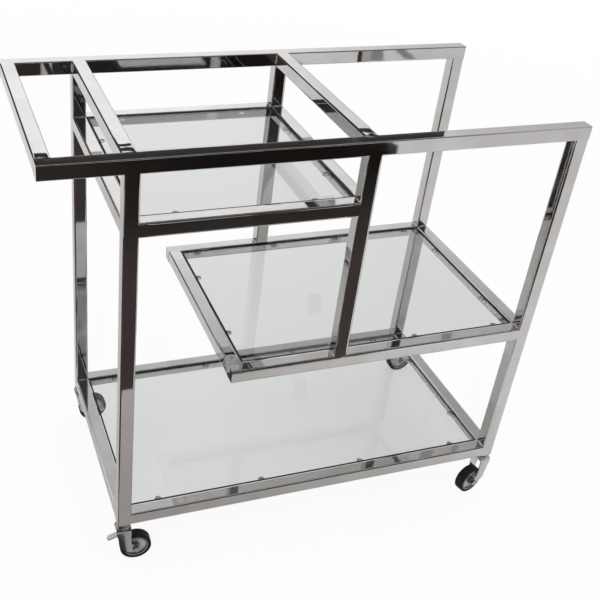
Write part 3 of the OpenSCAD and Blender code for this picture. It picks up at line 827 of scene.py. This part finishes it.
def make_floor_cards(dark, wall, grey):
    """Dark ground in front of the cart and beside it, and the grey strips beyond. The card at the
    near-left caster is painted shade: the shadow at the wheel's foot as mirrors see it.
    """
    left, front = -1.6, -7.0
    mirror_card("dark_floor_front", on_floor([
        (left, 0.45), (-0.60, 0.30), (-0.52, 0.08), (-0.50, -0.705), (0.40, -0.705),
        (0.55, -0.931), (0.62, -1.053), (0.70, -1.187), (0.78, -1.333), (0.96, -1.632),
        (1.12, -1.898), (1.06, -2.07), (1.06, front), (0.64, front), (0.64, -2.03),
        (0.25, -2.03), (0.25, front), (left, front)]), dark)
    # Painted shade: the shadow on the floor at the near-left wheel's foot, as mirrors see it
    mirror_card("floor_shade_left", on_floor([
        (-0.66, -0.285), (-0.34, -0.285), (-0.34, -0.215), (-0.66, -0.215)]), wall)
    mirror_card("dark_floor_right", on_floor([
        (0.734, 0.813), (1.25, 1.39), (1.10, 1.53), (0.586, 0.947)]), wall)
    near, far = -2.0, -2.3
    strips = [(1.385, 1.428, 0.144), (1.450, 1.519, 0.144), (1.640, 1.697, 0.0)]
    for i, (x0, x1, slant) in enumerate(strips):
        mirror_card("floor_strip_%d" % i, on_floor([
            (x0, near), (x1, near), (x1 + slant, far), (x0 + slant, far)]), grey)


def make_upright_cards(dark, wall, grey):
    """Dark boards round the cart, and the grey strips high up behind it."""
    mirror_card("dark_board_back", upright(0.6, -0.42, 0.714, 1.217, 1.90), wall)
    back = 2.5
    strips = [(1.35, 1.43, 2.24, 2.40, 0.03), (2.32, 2.39, 2.66, 2.80, 0.0),
              (1.99, 2.01, 3.00, 3.20, 0.0), (2.19, 2.29, 3.00, 3.20, 0.0),
              (2.38, 2.48, 3.00, 3.20, 0.0), (2.63, 2.68, 3.00, 3.20, 0.0)]
    for i, strip in enumerate(strips):
        mirror_card("strip_back_%d" % i, upright(back, *strip), grey)
    front, top = -4.0, 2.6
    mirror_card("dark_wall_front", upright(front, -2.4, -0.9, 0.0, top), dark)
    mirror_card("dark_post_front", upright(front, 1.3, 1.6, 0.0, top), dark)
    right, y0, y1 = 4.5, -1.6, -0.6
    side = [(right, y0, 0), (right, y1, 0), (right, y1, top), (right, y0, top)]
    mirror_card("dark_wall_right", side, dark)
    mirror_card("dark_wall_left", [(-x, -y, z) for x, y, z in side], dark)


def make_cards():
    """Dark and grey surroundings of the cart, as its tubes mirror them."""
    dark = card_paint("dark_card", low=(0.012, 0.010, 0.009), high=(0.085, 0.072, 0.066))
    wall = card_paint("dark_wall", low=(0.010, 0.009, 0.008), high=(0.050, 0.046, 0.043))
    grey = card_paint("grey_card", low=(0.29, 0.285, 0.28), high=(0.32, 0.31, 0.31))
    make_floor_cards(dark, wall, grey)
    make_upright_cards(dark, wall, grey)


def make_world():
    """White to the camera. To mirrors a room that is bright over the handle end and at the
    back, greyer to the right and higher up, and dark in front, with a strip of light in the
    dark ceiling. Here the numbers in the rises are parts of the direction's unit vector.
    """
    world = bpy.data.worlds.new("room")
    bpy.context.scene.world = world
    world.use_nodes = True
    tree = world.node_tree
    tree.nodes.clear()
    toward = vector(tree, "NORMALIZE", node(tree, "ShaderNodeTexCoord", output="Generated"))
    x, y, z = (part_of(tree, toward, i) for i in range(3))
    leftward = x.rise(0.62, 0.25)
    low = z.rise(0.62, 0.42)
    skirting = z.rise(0.38, 0.33) * 0.07
    bright = 0.42 + leftward * 0.26 + low * 0.30 + leftward * low * 0.27 - skirting
    back_left = x.rise(0.0, -0.12) * z.rise(0.60, 0.45) * y.rise(0.68, 0.78)
    back = bright * (1 - back_left * 0.95)
    front = 0.05 + z.rise(0.50, 0.80) * 0.10 + x.rise(0.48, 0.66) * 0.50
    walls = front + y.rise(-0.35, 0.0) * (back - front)
    overhead = z.rise(0.74, 0.82)
    ceiling_strip = abs(y + 0.04).rise(0.14, 0.06) * 1.3
    in_mirrors = walls * (1 - overhead * 0.85) + overhead * ceiling_strip
    seen = ray(tree, "Is Camera Ray")
    turned = ray(tree, "Is Glossy Ray").highest(mirrored(tree)) * (1 - ray(tree, "Is Diffuse Ray"))
    level = turned * in_mirrors + (1 - turned) * (ROOM_LEVEL + seen * (1 - ROOM_LEVEL))
    shader = node(tree, "ShaderNodeBackground", None, {"Color": (1, 1, 1, 1), "Strength": level})
    surface(tree, shader, "ShaderNodeOutputWorld")


def make_lamp(name, place_at, size, watts):
    """Square soft lamp that points at the cart; mirrors don't see it."""
    data = bpy.data.lights.new(name, "AREA")
    data.shape = "SQUARE"
    data.size = size
    data.energy = watts
    lamp = new_object(name, data)
    aim = Vector(LAMP_AIM) - Vector(place_at)
    lamp.rotation_euler = aim.to_track_quat("-Z", "Y").to_euler()
    lamp.location = place_at
    lamp.visible_glossy = False
    return lamp


def make_camera():
    """The photograph's camera."""
    data = bpy.data.cameras.new("camera")
    data.sensor_width = CAMERA_SENSOR
    data.lens = CAMERA_LENS
    data.shift_x, data.shift_y = CAMERA_SHIFT
    data.clip_start, data.clip_end = CAMERA_CLIP
    camera = new_object("camera", data)
    turn = (Matrix.Rotation(radians(-CAMERA_YAW), 4, "Z")
            @ Matrix.Rotation(radians(90 + CAMERA_PITCH), 4, "X")
            @ Matrix.Rotation(radians(CAMERA_ROLL), 4, "Z"))
    camera.matrix_world = Matrix.Translation(CAMERA_PLACE) @ turn
    bpy.context.scene.camera = camera


def make_studio():
    """Floor, mirror cards, room, lamps and camera."""
    half = FLOOR_HALF
    corners = [(-half, -half, 0), (half, -half, 0), (half, half, 0), (-half, half, 0)]
    flat_stage("floor", corners, floor_paint())
    make_cards()
    make_world()
    make_lamp("top_lamp", (0.2, -0.3, 3.6), size=4.5, watts=30.0)
    make_lamp("flash_lamp", (-1.38, -2.99, 3.01), size=0.35, watts=45.0)
    make_camera()
    bpy.context.scene.view_settings.view_transform = "Standard"


dress_tubes()
dress_shelves()
dress_casters()
make_studio()

bpy.context.view_layer.update()
